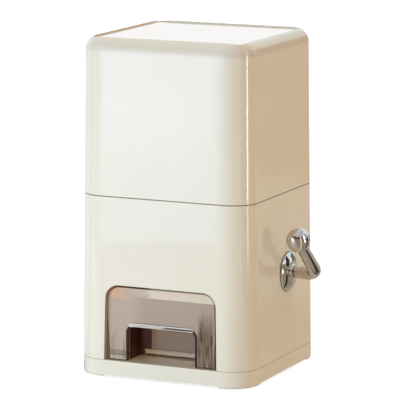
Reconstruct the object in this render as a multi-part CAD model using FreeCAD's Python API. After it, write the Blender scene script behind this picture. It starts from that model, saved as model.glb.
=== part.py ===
import FreeCAD, Part
import math
import os
from FreeCAD import Rotation, Vector

# Rice dispenser with a measuring crank and a pull-out drawer.
# Millimetres. X runs to the crank side, -Y to the front, Z up. The origin is the middle of the footprint,
# on the floor. The outer skin is a tapered box with rounded corners, split at two seams into base, lower
# body and bin; every shell, ledge and seal is an inset of that one outline.

# ---- outer skin ----
BODY_WIDTH = 224.0          # across the base seam, where the skin is widest
BODY_DEPTH = 217.0
CORNER_RADIUS = 33.6        # in plan, at the base seam
DRAFT_DEG = 0.76            # each side leans in by this much
BODY_HEIGHT = 401.0         # before the top radius, which takes the rim down by about half a millimetre
BASE_SEAM = 21.0            # top of the base plate
MID_SEAM = 215.5            # between lower body and bin
TOP_ROUND = 15.0            # large radius along the bin's top edge
SEAM_ROUND = 0.7            # small radii that make the seams read as dark lines
WALL = 2.6
FIT_GAP = 0.3               # between fixed pieces that plug into each other

# ---- base plate ----
SKIRT_LIFT = 3.2            # floor to the raised edge between the feet
BASE_EDGE_ROUND = 2.4
DECK = 2.6                  # thickness of the deck that the drawer slides on
FOOT_REACH = 37.0           # each corner foot runs this far in from the side
PAD_RADIUS = 9.0
PAD_THICK = 2.4
PAD_SHOW = 0.9              # how far a rubber pad stands out of its foot
PAD_CUP_WALL = 2.0
PAD_SPACE = 3.0             # wall between a pad's recess and the corner screw
RIB_LIFT = 2.0              # ribs above the raised edge
LOCATOR_WALL = 2.0
LOCATOR_HEIGHT = 6.0
RIB = 1.8

# ---- joint between bin, funnel and lower body ----
LEDGE_WIDTH = 6.0
EAR_MARGIN = 2.0            # ledge round a corner screw, wider than the screw's post
LEDGE_THICK = 3.0
FLANGE_THICK = 2.6
SEAL_THICK = 1.9
PLUG_DEPTH = 5.0            # the bin's collar reaches this far below the seam
PLUG_WALL = 2.0
PLUG_RISE = 6.0

# ---- drawer opening and drawer ----
OPENING_HALF = 72.5         # at the base seam
OPENING_HEIGHT = 90.4
OPENING_DRAFT_DEG = 1.2
OPENING_CORNER = 17.0
DRAWER_GAP = 1.5            # all round the front panel
DRAWER_RECESS = 2.8         # front panel behind the body's face
PANEL_THICK = 3.2
PANEL_ROUND = 2.4
TRAY_WALL = 2.2
TRAY_SIDE_GAP = 3.9         # tray's side from the opening's, at the base seam
TRAY_TOP_GAP = 14.4         # tray's side walls below the opening's top
TRAY_SPOUT_GAP = 23.5       # rear wall below the outlet, room for the heap of grain
TRAY_REAR_CORNER = 12.0
TRAY_FLOOR_RISE = 6.0       # underside of the floor above the deck
RUNNING_GAP = 0.5           # tray above the deck
NOTCH_HALF = 43.8
NOTCH_HEIGHT = 42.0         # above the base seam
NOTCH_CORNER = 7.0
NOTCH_DEPTH = 42.8
NOTCH_REAR_ROUND = 6.0      # edges of the pocket's rear wall
LIP_RADIUS = 2.6            # bead under which the fingers pull
SLOPE_START = -52.0         # the side walls start to drop here, from the shaft on Y
SLOPE_END = 28.0            # and reach the rear wall's height here

# ---- drawer bay ----
BAY_MARGIN = 0.6            # bay behind the edge of the opening
BAY_WALL = 2.0
BAY_BACK_GAP = 16.5         # bay's back from the body's rear face
BAY_FLANGE = 9.0
BAY_SCREW_END = 3.0         # bay screws past the deck
STOP_GAP = 4.0              # pushed-in tray from the bay's back
HATCH_END_GAP = 4.0         # hatch in the bay's roof round the drum housing
HATCH_SIDE_GAP = 2.0

# ---- metering drum and its housing ----
AXIS_Y = 12.0
AXIS_Z = 120.0
DRUM_RADIUS = 25.0
DRUM_LENGTH = 84.0
DRUM_POCKETS = 4
DRUM_HUB = 8.0
DRUM_DISC = 2.4             # end discs that close the pockets
DRUM_VANE = 3.0
POCKET_ROUND = 5.0
DRUM_GAP = 0.4
END_GAP = 0.6
HOUSING_WALL = 2.6
NECK_HALF = 17.0            # inlet, half its size on Y
SPOUT_HALF = 11.5           # outlet, half its size on Y
SPOUT_BOTTOM = 89.5
HOUSING_TOP = 149.0
HOUSING_FLANGE = 8.0
THROAT_CORNER = 3.0
FUNNEL_CORNER = 36.0        # wide enough to pass inside the corner screw posts
WIPER_THICK = 1.2
WIPER_HEIGHT = 8.0
WIPER_GAP = 0.4

# ---- shaft, bushes and crank ----
SHAFT_RADIUS = 4.0
SHAFT_RUNNING = 0.05
BUSH_WALL = 2.5
BUSH_FLANGE_RADIUS = 9.0
BUSH_FLANGE_THICK = 1.5
CLIP_THICK = 1.0
CLIP_RADIUS = 6.5
CLIP_GROOVE = 0.8
ROSE_RADIUS = 24.0
ROSE_DOME = 7.6             # height of the dome over the wall
ROSE_RIM = 2.6
ROSE_STEM_RADIUS = 9.0
ROSE_NECK_RADIUS = 9.6
ROSE_NECK_EASE = 0.6        # taper of the neck
ROSE_NECK = 9.4             # height of the neck over the wall
SEAT_CUT = 0.5              # spot face in the leaning wall, on the axis
BOSS_RADIUS = 16.0
BOSS_THICK = 5.4
NUT_ACROSS = 26.0
NUT_THICK = 4.6
STEM_END = 0.8              # stem past the nut
BUSH_SHY = 1.5              # wall bush behind the neck's face
SHAFT_END = 2.0             # shaft past its clip
CRANK_GAP = 0.5
CRANK_STANDOFF = 35.5       # arm's centre line from half the body's width
CRANK_BEND = 12.0           # centre line's radius between hub and arm
CRANK_TILT_DEG = 48.7       # from upright towards the front
HUB_RADIUS = 6.6
ARM_ROOT_RADIUS = 7.8
ARM_TIP_RADIUS = 6.6
ARM_LENGTH = 76.0           # shaft axis to ball centre
BALL_RADIUS = 14.1
BALL_SOCKET = 1.0
SOCKET_REACH = 4.0
STUD_RADIUS = 2.5
STUD_LENGTH = 14.0
GRUB_RADIUS = 2.0
GRUB_PLACE = 6.0            # from the hub's inner end
GRUB_SHY = 0.3

# ---- lid ----
LID_INSET = 10.7            # opening's edge from the skin
LID_CORNER = 12.0
LID_SINK = 2.3              # lid under the rim
LID_THICK = 2.4
LID_GAP = 0.5
LID_LEDGE = 1.9
LID_LEDGE_THICK = 2.4
RIM_WALL = 2.2
COLLAR_DEPTH = 9.9
GASKET_GAP = 0.3
GASKET_WIDTH = 2.1
GASKET_HEIGHT = 4.0
LID_SKIRT = 2.0
LID_SKIRT_DEPTH = 9.0
CUP_RADIUS = 34.0
CUP_WALL = 2.0
CUP_DEPTH = 17.0
CUP_RING = 4.0              # ring under the lid that the cup is pushed over
CAP_WALL = 2.0
CAP_SKIRT = 8.0
CAP_GAP = 0.4
LUG_REACH = 1.7
LUG_HEIGHT = 1.5
LUG_DEG = 24.0
LUG_RISE = 1.5              # cup's lugs above its lower edge
GRIP_DEPTH = 5.0
VENT_COUNT = 8
VENT_HALF = 1.5

# ---- screws ----
SCREW_RADIUS = 1.6
SCREW_HEAD_RADIUS = 3.4
SCREW_HEAD = 2.4
SCREW_CLEAR = 0.5
SCREW_BITE = 12.0           # thread in the piece that the screw holds
BORE_SPARE = 2.0            # bore past the screw's tip
BOSS_POST = 4.6
POST_SPARE = 4.0            # post past the end of its bore
POST_ROOT = 0.5             # a post runs this far into the wall beside it
SMALL_SCREW = 1.3
SMALL_HEAD_RADIUS = 2.6
SMALL_HEAD = 1.8
SMALL_POST = 3.4
SMALL_BITE = 9.0
SMALL_POST_SPARE = 3.0
OVERRUN = 1.0               # cutting shapes reach this far past the faces they cut

LEAN = math.tan(math.radians(DRAFT_DEG))
OPENING_LEAN = math.tan(math.radians(OPENING_DRAFT_DEG))
CRANK_OFFSET = BODY_WIDTH / 2 + CRANK_STANDOFF
TRAY_HALF = OPENING_HALF - TRAY_SIDE_GAP
TRAY_SIDE_TOP = BASE_SEAM + OPENING_HEIGHT - TRAY_TOP_GAP
TRAY_BACK_TOP = SPOUT_BOTTOM - TRAY_SPOUT_GAP
BAY_BACK = BODY_DEPTH / 2 - BAY_BACK_GAP
TRAY_BACK = BAY_BACK - STOP_GAP
LEDGE_TOP = MID_SEAM - PLUG_DEPTH - SEAL_THICK - FLANGE_THICK
FLANGE_TOP = LEDGE_TOP + FLANGE_THICK
PLUG_BOTTOM = MID_SEAM - PLUG_DEPTH
LID_TOP = BODY_HEIGHT - LID_SINK
LID_SEAT = LID_TOP - LID_THICK
BORE_RADIUS = DRUM_RADIUS + DRUM_GAP
BARREL_RADIUS = BORE_RADIUS + HOUSING_WALL
CHAMBER_HALF = DRUM_LENGTH / 2 + END_GAP
BUSH_RADIUS = SHAFT_RADIUS + SHAFT_RUNNING + BUSH_WALL
AXIS_POINT = Vector(0, AXIS_Y, AXIS_Z)
ALONG_X = Vector(1, 0, 0)
UP = Vector(0, 0, 1)


# ---- outline of the skin and what is cut from it ----
def rounded_wire(half_x, half_y, radius, z, middle_y=0.0):
    """Closed wire at height z: a rectangle with round corners."""
    edges = []
    turn = math.sqrt(0.5)
    corners = [(1, 1), (-1, 1), (-1, -1), (1, -1)]
    for index, (side_x, side_y) in enumerate(corners):
        centre = Vector(side_x * (half_x - radius), middle_y + side_y * (half_y - radius), z)
        on_x = centre + Vector(side_x * radius, 0, 0)
        on_y = centre + Vector(0, side_y * radius, 0)
        bend = centre + Vector(side_x * radius * turn, side_y * radius * turn, 0)
        first, last = (on_x, on_y) if index % 2 == 0 else (on_y, on_x)
        edges.append((first, bend, last))
    parts = []
    for index, (first, bend, last) in enumerate(edges):
        parts.append(Part.Arc(first, bend, last).toShape())
        following = edges[(index + 1) % 4][0]
        parts.append(Part.makeLine(last, following))
    return Part.Wire(parts)


def lean_at(z):
    """How far the skin has leaned in at height z; the base plate under the seam stands straight."""
    return max(0.0, z - BASE_SEAM) * LEAN


def outline(z, inset=0.0, corner=None):
    """The skin's outline at height z, moved inwards by inset."""
    lean = lean_at(z)
    half_x = BODY_WIDTH / 2 - lean - inset
    half_y = BODY_DEPTH / 2 - lean - inset
    radius = corner if corner is not None else CORNER_RADIUS - lean - inset
    return rounded_wire(half_x, half_y, radius, z)


def block(low, high, inset=0.0, corner=None):
    """Solid between two heights inside the leaning outline."""
    return Part.makeLoft([outline(low, inset, corner), outline(high, inset, corner)], True, True)


def ring(low, high, inset, width, corner=None):
    """Wall of the given width, its outer face inset from the skin."""
    inner_corner = corner - width if corner is not None else None
    return block(low, high, inset, corner).cut(block(low, high, inset + width, inner_corner))


def skin_x(z):
    """X of the skin on the crank side at height z."""
    return BODY_WIDTH / 2 - lean_at(z)


def corner_posts(z, inset):
    """The four points on the corner diagonals that lie inset from the skin at height z."""
    lean = lean_at(z)
    reach = (CORNER_RADIUS - lean - inset) * math.sqrt(0.5)
    x = BODY_WIDTH / 2 - CORNER_RADIUS + reach
    y = BODY_DEPTH / 2 - CORNER_RADIUS + reach
    return [(sx * x, sy * y) for sx in (-1, 1) for sy in (-1, 1)]


def box(low_x, high_x, low_y, high_y, low_z, high_z):
    return Part.makeBox(high_x - low_x, high_y - low_y, high_z - low_z, Vector(low_x, low_y, low_z))


def post(x, y, low, high, radius):
    return Part.makeCylinder(radius, high - low, Vector(x, y, low), UP)


def rod(low, high, radius, y=AXIS_Y, z=AXIS_Z):
    """Cylinder along X."""
    return Part.makeCylinder(radius, high - low, Vector(low, y, z), ALONG_X)


def joined(pieces):
    first = pieces[0]
    return first.fuse(pieces[1:]).removeSplitter() if len(pieces) > 1 else first


def edges_where(shape, test):
    return [edge for edge in shape.Edges if test(edge.BoundBox, edge)]


def rounded_level(shape, z, radius):
    """Round every edge that lies flat at height z."""
    def at_level(bounds, edge):
        return abs(bounds.ZMin - z) < 0.01 and abs(bounds.ZMax - z) < 0.01
    return shape.makeFillet(radius, edges_where(shape, at_level))


def screw(x, y, head_z, length, radius, head_radius, head_height, upwards=True):
    """Pan-head screw: the head's bearing face lies at head_z and the shank runs up (or down) from it."""
    way = 1 if upwards else -1
    shank = Part.makeCylinder(radius, length, Vector(x, y, head_z), Vector(0, 0, way))
    narrow = head_radius * 0.7
    head = Part.makeCone(head_radius, narrow, head_height, Vector(x, y, head_z), Vector(0, 0, -way))
    return joined([shank, head])


# ---- drawer opening ----
def opening_wire(grow, low, y):
    """Outline of the drawer opening in the plane of the front, grown on the sides and top."""
    top = BASE_SEAM + OPENING_HEIGHT + grow
    radius = OPENING_CORNER + grow
    half_low = OPENING_HALF + grow - (low - BASE_SEAM) * OPENING_LEAN
    half_bend = OPENING_HALF + grow - (top - radius - BASE_SEAM) * OPENING_LEAN
    half_top = half_bend - radius
    turn = radius * math.sqrt(0.5)
    points = [
        Vector(-half_low, y, low), Vector(-half_bend, y, top - radius),
        Vector(-half_top - turn, y, top - radius + turn), Vector(-half_top, y, top),
        Vector(half_top, y, top), Vector(half_top + turn, y, top - radius + turn),
        Vector(half_bend, y, top - radius), Vector(half_low, y, low),
    ]
    return Part.Wire([
        Part.makeLine(points[0], points[1]),
        Part.Arc(points[1], points[2], points[3]).toShape(),
        Part.makeLine(points[3], points[4]),
        Part.Arc(points[4], points[5], points[6]).toShape(),
        Part.makeLine(points[6], points[7]),
        Part.makeLine(points[7], points[0]),
    ])


def opening_prism(grow, low, front, back):
    return Part.Face(opening_wire(grow, low, front)).extrude(Vector(0, back - front, 0))


def arch_prism(grow, low, front, back):
    """Finger notch: a low arch with round upper corners."""
    half = NOTCH_HALF + grow
    top = BASE_SEAM + NOTCH_HEIGHT + grow
    radius = NOTCH_CORNER + grow
    turn = radius * math.sqrt(0.5)
    points = [
        Vector(-half, front, low), Vector(-half, front, top - radius),
        Vector(-half + radius - turn, front, top - radius + turn), Vector(-half + radius, front, top),
        Vector(half - radius, front, top), Vector(half - radius + turn, front, top - radius + turn),
        Vector(half, front, top - radius), Vector(half, front, low),
    ]
    wire = Part.Wire([
        Part.makeLine(points[0], points[1]),
        Part.Arc(points[1], points[2], points[3]).toShape(),
        Part.makeLine(points[3], points[4]),
        Part.Arc(points[4], points[5], points[6]).toShape(),
        Part.makeLine(points[6], points[7]),
        Part.makeLine(points[7], points[0]),
    ])
    return Part.Face(wire).extrude(Vector(0, back - front, 0))


# ---- base ----
def base_plate():
    """Deck with a skirt, four corner feet, a locating rim for the lower body and ribs underneath."""
    foot_bottom = PAD_SHOW
    skin = block(foot_bottom, BASE_SEAM)
    skin = rounded_level(skin, foot_bottom, BASE_EDGE_ROUND)
    skin = rounded_level(skin, BASE_SEAM, SEAM_ROUND)
    hollow = block(foot_bottom - OVERRUN, BASE_SEAM - DECK, WALL)
    plate = skin.cut(hollow)
    far_x = BODY_WIDTH / 2 - FOOT_REACH
    far_y = BODY_DEPTH / 2 - FOOT_REACH
    reach = BODY_WIDTH
    plate = plate.cut(box(-far_x, far_x, -reach, reach, foot_bottom - OVERRUN, SKIRT_LIFT))
    plate = plate.cut(box(-reach, reach, -far_y, far_y, foot_bottom - OVERRUN, SKIRT_LIFT))
    inner = block(foot_bottom, BASE_SEAM, WALL / 2)
    ribs = []
    rib_low, rib_high = SKIRT_LIFT + RIB_LIFT, BASE_SEAM - DECK / 2
    for x in (-BODY_WIDTH / 4, 0, BODY_WIDTH / 4):
        ribs.append(box(x - RIB / 2, x + RIB / 2, -reach, reach, rib_low, rib_high))
    for y in (-BODY_DEPTH / 6, BODY_DEPTH / 6):
        ribs.append(box(-reach, reach, y - RIB / 2, y + RIB / 2, rib_low, rib_high))
    ribs = [rib.common(inner) for rib in ribs]
    posts = []
    for x, y in corner_posts(BASE_SEAM, pad_inset()):
        posts.append(post(x, y, foot_bottom, rib_high, PAD_RADIUS + PAD_CUP_WALL))
    rim = ring(BASE_SEAM - DECK / 2, BASE_SEAM + LOCATOR_HEIGHT, WALL + FIT_GAP, LOCATOR_WALL)
    rim = rim.cut(opening_prism(BAY_MARGIN + BAY_WALL, BASE_SEAM - DECK, -reach, 0))
    for x, y in corner_posts(BASE_SEAM, post_inset()):
        rim = rim.cut(post(x, y, BASE_SEAM, BASE_SEAM + LOCATOR_HEIGHT, BOSS_POST + SCREW_CLEAR))
    plate = joined([plate] + ribs + posts + [rim])
    for x, y in corner_posts(BASE_SEAM, pad_inset()):
        plate = plate.cut(post(x, y, foot_bottom - OVERRUN, PAD_THICK, PAD_RADIUS))
    for x, y in corner_posts(BASE_SEAM, post_inset()):
        hole = post(x, y, BASE_SEAM - DECK - OVERRUN, BASE_SEAM + OVERRUN, SCREW_RADIUS + SCREW_CLEAR)
        well = post(x, y, foot_bottom - OVERRUN, BASE_SEAM - DECK, SCREW_HEAD_RADIUS + SCREW_CLEAR)
        plate = plate.cut(hole).cut(well)
    for x, y in bay_screw_places():
        plate = plate.cut(post(x, y, BASE_SEAM - DECK - OVERRUN, BASE_SEAM + OVERRUN, SMALL_SCREW))
    return plate


def pad_inset():
    """Pads stand further in than the corner screws, with a wall between the two."""
    return post_inset() + SCREW_HEAD_RADIUS + SCREW_CLEAR + PAD_RADIUS + PAD_SPACE


def post_inset():
    """Screw posts grow out of the shell's corner wall."""
    return WALL + BOSS_POST - POST_ROOT


def foot_pads():
    pads = []
    for x, y in corner_posts(BASE_SEAM, pad_inset()):
        pad = post(x, y, 0, PAD_THICK, PAD_RADIUS)
        rim = [e for e in pad.Edges if e.BoundBox.ZMax < 0.01]
        pads.append(pad.makeChamfer(PAD_SHOW / 2, rim))
    return Part.makeCompound(pads)


def base_screws():
    places = corner_posts(BASE_SEAM, post_inset())
    bearing = BASE_SEAM - DECK
    size = (SCREW_RADIUS, SCREW_HEAD_RADIUS, SCREW_HEAD)
    return Part.makeCompound([screw(x, y, bearing, DECK + SCREW_BITE, *size) for x, y in places])


# ---- lower body ----
def lower_body():
    """Shell with the drawer opening, the crank's wall boss and the ledge that carries the funnel."""
    skin = block(BASE_SEAM, MID_SEAM)
    skin = rounded_level(skin, MID_SEAM, SEAM_ROUND)
    skin = rounded_level(skin, BASE_SEAM, SEAM_ROUND)
    shell = skin.cut(block(BASE_SEAM - OVERRUN, MID_SEAM + OVERRUN, WALL))
    wall_side = block(BASE_SEAM, MID_SEAM, WALL / 2)
    ledge = ring(LEDGE_TOP - LEDGE_THICK, LEDGE_TOP, WALL / 2, LEDGE_WIDTH + WALL / 2)
    pieces = [shell, ledge]
    for x, y in corner_posts(MID_SEAM, post_inset()):
        ear = post(x, y, LEDGE_TOP - LEDGE_THICK, LEDGE_TOP, BOSS_POST + EAR_MARGIN)
        pieces.append(ear.common(wall_side))
    for x, y in corner_posts(BASE_SEAM, post_inset()):
        high = BASE_SEAM + SCREW_BITE + BORE_SPARE + POST_SPARE
        pieces.append(post(x, y, BASE_SEAM, high, BOSS_POST).common(wall_side))
    boss = rod(skin_x(AXIS_Z) - WALL - BOSS_THICK, skin_x(AXIS_Z), BOSS_RADIUS).common(wall_side)
    body = joined(pieces + [boss])
    for x, y in corner_posts(MID_SEAM, post_inset()):
        low, high = LEDGE_TOP - LEDGE_THICK - OVERRUN, LEDGE_TOP + OVERRUN
        body = body.cut(post(x, y, low, high, SCREW_RADIUS + SCREW_CLEAR))
    for x, y in corner_posts(BASE_SEAM, post_inset()):
        high = BASE_SEAM + SCREW_BITE + BORE_SPARE
        body = body.cut(post(x, y, BASE_SEAM - OVERRUN, high, SCREW_RADIUS))
    front = -BODY_DEPTH
    back = -BODY_DEPTH / 2 + 2 * WALL + SEAM_ROUND
    body = body.cut(opening_prism(0, BASE_SEAM - OVERRUN, front, back))
    outside = skin_x(AXIS_Z) + BOSS_THICK
    body = body.cut(rod(seat_x(), outside, ROSE_RADIUS + FIT_GAP))
    return body.cut(rod(boss_x() - OVERRUN, outside, ROSE_STEM_RADIUS + FIT_GAP))


def seat_x():
    """Flat seat of the rose, cut square to the shaft into the leaning wall."""
    return skin_x(AXIS_Z) - SEAT_CUT


def boss_x():
    """Inner face of the wall boss, where the nut bears."""
    return skin_x(AXIS_Z) - WALL - BOSS_THICK


# ---- drawer bay ----
def bay_screw_places():
    x = OPENING_HALF + BAY_MARGIN + BAY_WALL + BAY_FLANGE / 2
    return [(sx * x, y) for sx in (-1, 1) for y in (-BODY_DEPTH / 4, BODY_DEPTH / 4)]


def drawer_bay():
    """Liner round the drawer: sides, roof and back, with flanges screwed to the deck."""
    outer = opening_prism(BAY_MARGIN + BAY_WALL, BASE_SEAM, -BODY_DEPTH, BAY_BACK + BAY_WALL)
    inner = opening_prism(BAY_MARGIN, BASE_SEAM - OVERRUN, -BODY_DEPTH - OVERRUN, BAY_BACK)
    half = OPENING_HALF + BAY_MARGIN + BAY_WALL
    flange_end = BODY_DEPTH / 3
    flanges = []
    for side in (-1, 1):
        inside = side * (half - BAY_WALL / 2)
        outside = side * (half + BAY_FLANGE)
        low, high = min(inside, outside), max(inside, outside)
        flanges.append(box(low, high, -flange_end, flange_end, BASE_SEAM, BASE_SEAM + BAY_WALL))
    bay = joined([outer] + flanges).cut(inner)
    hatch_x = CHAMBER_HALF + HOUSING_WALL + HATCH_END_GAP
    hatch_y = BARREL_RADIUS + HATCH_SIDE_GAP
    roof = BASE_SEAM + OPENING_HEIGHT
    above = roof + BAY_MARGIN + BAY_WALL + OVERRUN
    bay = bay.cut(box(-hatch_x, hatch_x, AXIS_Y - hatch_y, AXIS_Y + hatch_y, roof, above))
    for x, y in bay_screw_places():
        high = BASE_SEAM + BAY_WALL + OVERRUN
        bay = bay.cut(post(x, y, BASE_SEAM - OVERRUN, high, SMALL_SCREW + SCREW_CLEAR))
    return bay.common(block(BASE_SEAM, MID_SEAM, WALL + FIT_GAP))


def bay_screws():
    size = (SMALL_SCREW, SMALL_HEAD_RADIUS, SMALL_HEAD, False)
    bearing = BASE_SEAM + BAY_WALL
    places = bay_screw_places()
    length = BAY_WALL + DECK + BAY_SCREW_END
    return Part.makeCompound([screw(x, y, bearing, length, *size) for x, y in places])


# ---- drawer ----
def front_y(z, inset):
    """Y of a plane parallel to the leaning front, inset from it, at height z."""
    return lean_at(z) + inset - BODY_DEPTH / 2


def front_slab(inset, thick):
    """Slab parallel to the leaning front, from the base seam to above the drawer."""
    low, high = BASE_SEAM, MID_SEAM
    x = -BODY_WIDTH
    points = [
        Vector(x, front_y(low, inset), low),
        Vector(x, front_y(low, inset) + thick, low),
        Vector(x, front_y(high, inset) + thick, high),
        Vector(x, front_y(high, inset), high),
    ]
    face = Part.Face(Part.makePolygon(points + points[:1]))
    return face.extrude(Vector(2 * BODY_WIDTH, 0, 0))


def drawer_tray():
    """One transparent moulding: thick front panel, finger pocket, tray with a dropped rear wall."""
    low = BASE_SEAM + RUNNING_GAP
    far = BODY_DEPTH
    behind = front_slab(DRAWER_RECESS + PANEL_THICK, BODY_DEPTH)
    panel = opening_prism(-DRAWER_GAP, low, -far, 0).common(front_slab(DRAWER_RECESS, PANEL_THICK))
    face_edges = []
    for edge in panel.Edges:
        middle = edge.valueAt((edge.FirstParameter + edge.LastParameter) / 2)
        face_edges += [edge] if abs(middle.y - front_y(middle.z, DRAWER_RECESS)) < 0.01 else []
    panel = panel.makeFillet(PANEL_ROUND, face_edges)
    front = -BODY_DEPTH / 2 + DRAWER_RECESS + PANEL_THICK / 2
    shell = box(-TRAY_HALF, TRAY_HALF, front, TRAY_BACK, low, TRAY_SIDE_TOP)
    upright = []
    for edge in shell.Edges:
        bounds = edge.BoundBox
        upright += [edge] if bounds.ZLength > TRAY_WALL and bounds.YMin > 0 else []
    shell = shell.makeFillet(TRAY_REAR_CORNER, upright)
    shell = shell.common(behind)
    floor_under = BASE_SEAM + TRAY_FLOOR_RISE
    floor_top = floor_under + TRAY_WALL
    half = TRAY_HALF - TRAY_WALL
    cavity_front = front - PANEL_THICK
    cavity = box(-half, half, cavity_front, TRAY_BACK - TRAY_WALL, floor_top, BODY_HEIGHT)
    upright = []
    for edge in cavity.Edges:
        bounds = edge.BoundBox
        upright += [edge] if bounds.ZLength > TRAY_WALL and bounds.YMin > 0 else []
    cavity = cavity.makeFillet(TRAY_REAR_CORNER - TRAY_WALL, upright)
    under = box(-half, half, cavity_front, TRAY_BACK - TRAY_WALL, low - OVERRUN, floor_under)
    shell = shell.cut(cavity).cut(under).cut(rear_drop())
    pocket_back = -BODY_DEPTH / 2 + NOTCH_DEPTH
    pocket = finger_pocket(TRAY_WALL, low, pocket_back + TRAY_WALL).common(behind)
    skids = []
    for side in (-1, 1):
        x = side * half * 0.6
        skids.append(box(x - RIB / 2, x + RIB / 2, pocket_back, TRAY_BACK - TRAY_WALL, low, floor_under))
    tray = joined([panel, shell, pocket, grip_lip()] + skids)
    return tray.cut(finger_pocket(0, low - OVERRUN, pocket_back))


def finger_pocket(grow, low, back):
    """The notch carried back to its rear wall, whose edges at the sides and top are round."""
    prism = arch_prism(grow, low, -BODY_DEPTH, back)
    rear = [e for e in prism.Edges if e.BoundBox.YMin > back - 0.01 and e.BoundBox.ZMax > low + 0.01]
    return prism.makeFillet(NOTCH_REAR_ROUND + grow, rear)


def rear_drop():
    """Cut that lets the side walls fall in an S-curve to the low rear wall."""
    start = Vector(0, AXIS_Y + SLOPE_START, TRAY_SIDE_TOP)
    end = Vector(0, AXIS_Y + SLOPE_END, TRAY_BACK_TOP)
    reach = (SLOPE_END - SLOPE_START) / 2
    curve = Part.BezierCurve()
    curve.setPoles([start, start + Vector(0, reach, 0), end - Vector(0, reach, 0), end])
    back = TRAY_BACK + OVERRUN
    above = TRAY_SIDE_TOP + OVERRUN
    wire = Part.Wire([
        curve.toShape(),
        Part.makeLine(end, Vector(0, back, TRAY_BACK_TOP)),
        Part.makeLine(Vector(0, back, TRAY_BACK_TOP), Vector(0, back, above)),
        Part.makeLine(Vector(0, back, above), Vector(0, start.y, above)),
        Part.makeLine(Vector(0, start.y, above), start),
    ])
    cut = Part.Face(wire).extrude(Vector(2 * BODY_WIDTH, 0, 0))
    cut.translate(Vector(-BODY_WIDTH, 0, 0))
    return cut


def grip_lip():
    """Bead along the arch's upper edge, rounded at both ends."""
    z = BASE_SEAM + NOTCH_HEIGHT + LIP_RADIUS * 0.9
    y = front_y(z, DRAWER_RECESS + LIP_RADIUS * 0.45)
    half = NOTCH_HALF - NOTCH_CORNER / 2
    bead = Part.makeCylinder(LIP_RADIUS, 2 * half, Vector(-half, y, z), ALONG_X)
    ends = [Part.makeSphere(LIP_RADIUS, Vector(side * half, y, z)) for side in (-1, 1)]
    return joined([bead] + ends)


# ---- funnel ----
def throat_wire(z, grow):
    """Outline of the drum's inlet at height z, grown by a wall."""
    half_x = CHAMBER_HALF + grow
    return rounded_wire(half_x, NECK_HALF + grow, THROAT_CORNER + grow, z, AXIS_Y)


def throat_flange(low, high):
    """Rectangular screw flange round the inlet."""
    half_x = CHAMBER_HALF + HOUSING_WALL + HOUSING_FLANGE
    half_y = NECK_HALF + HOUSING_WALL + HOUSING_FLANGE
    outer = Part.Face(rounded_wire(half_x, half_y, HOUSING_FLANGE, low, AXIS_Y))
    inner = Part.Face(throat_wire(low, 0))
    return outer.cut(inner).extrude(Vector(0, 0, high - low))


def flange_screw_places():
    x = CHAMBER_HALF + HOUSING_WALL
    y = NECK_HALF + HOUSING_WALL + HOUSING_FLANGE / 2
    return [(sx * x, AXIS_Y + sy * y) for sx in (-1, 1) for sy in (-1, 1)]


def hopper_funnel():
    """Four sloping walls from the bin's section down to the inlet, hung by a flange on the ledge."""
    flange_low = LEDGE_TOP
    gap = WALL + LEDGE_WIDTH + FIT_GAP
    throat = HOUSING_TOP + FLANGE_THICK
    inner_corner = FUNNEL_CORNER - HOUSING_WALL
    top_outer = outline(flange_low, gap, FUNNEL_CORNER)
    top_inner = outline(flange_low, gap + HOUSING_WALL, inner_corner)
    outer = Part.makeLoft([throat_wire(throat, HOUSING_WALL), top_outer], True, True)
    inner = Part.makeLoft([throat_wire(throat, 0), top_inner], True, True)
    mouth = block(flange_low, FLANGE_TOP, gap + HOUSING_WALL, inner_corner)
    flange = block(LEDGE_TOP, FLANGE_TOP, WALL + FIT_GAP).cut(mouth)
    funnel = joined([outer.cut(inner), flange, throat_flange(HOUSING_TOP, throat)])
    for x, y in corner_posts(MID_SEAM, post_inset()):
        low, high = LEDGE_TOP - OVERRUN, FLANGE_TOP + OVERRUN
        funnel = funnel.cut(post(x, y, low, high, SCREW_RADIUS + SCREW_CLEAR))
    for x, y in flange_screw_places():
        funnel = funnel.cut(post(x, y, HOUSING_TOP - OVERRUN, throat, SMALL_SCREW))
    return funnel


def funnel_seal():
    """Flat silicone ring between the funnel's flange and the bin's collar."""
    return ring(FLANGE_TOP, PLUG_BOTTOM, WALL + FIT_GAP, PLUG_WALL)


def housing_screws():
    bearing = HOUSING_TOP - FLANGE_THICK
    size = (SMALL_SCREW, SMALL_HEAD_RADIUS, SMALL_HEAD)
    places = flange_screw_places()
    return Part.makeCompound([screw(x, y, bearing, 2 * FLANGE_THICK, *size) for x, y in places])


def bin_screws():
    places = corner_posts(MID_SEAM, post_inset())
    bearing = LEDGE_TOP - LEDGE_THICK
    length = LEDGE_THICK + FLANGE_THICK + SEAL_THICK + SCREW_BITE
    size = (SCREW_RADIUS, SCREW_HEAD_RADIUS, SCREW_HEAD)
    return Part.makeCompound([screw(x, y, bearing, length, *size) for x, y in places])


# ---- drum housing ----
def housing_section(x, length, grow):
    """Barrel, inlet neck and outlet spout seen along the shaft, as a slab from x."""
    barrel = rod(x, x + length, BORE_RADIUS + grow)
    neck = NECK_HALF + grow
    spout = SPOUT_HALF + grow
    above = box(x, x + length, AXIS_Y - neck, AXIS_Y + neck, AXIS_Z, HOUSING_TOP)
    below = box(x, x + length, AXIS_Y - spout, AXIS_Y + spout, SPOUT_BOTTOM, AXIS_Z)
    return joined([barrel, above, below])


def cover_screw_places():
    """On the diagonals beside the barrel, as (y, z)."""
    reach = (BARREL_RADIUS + SMALL_POST * 0.4) * math.sqrt(0.5)
    return [(AXIS_Y + sy * reach, AXIS_Z + sz * reach) for sy in (-1, 1) for sz in (-1, 1)]


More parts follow.
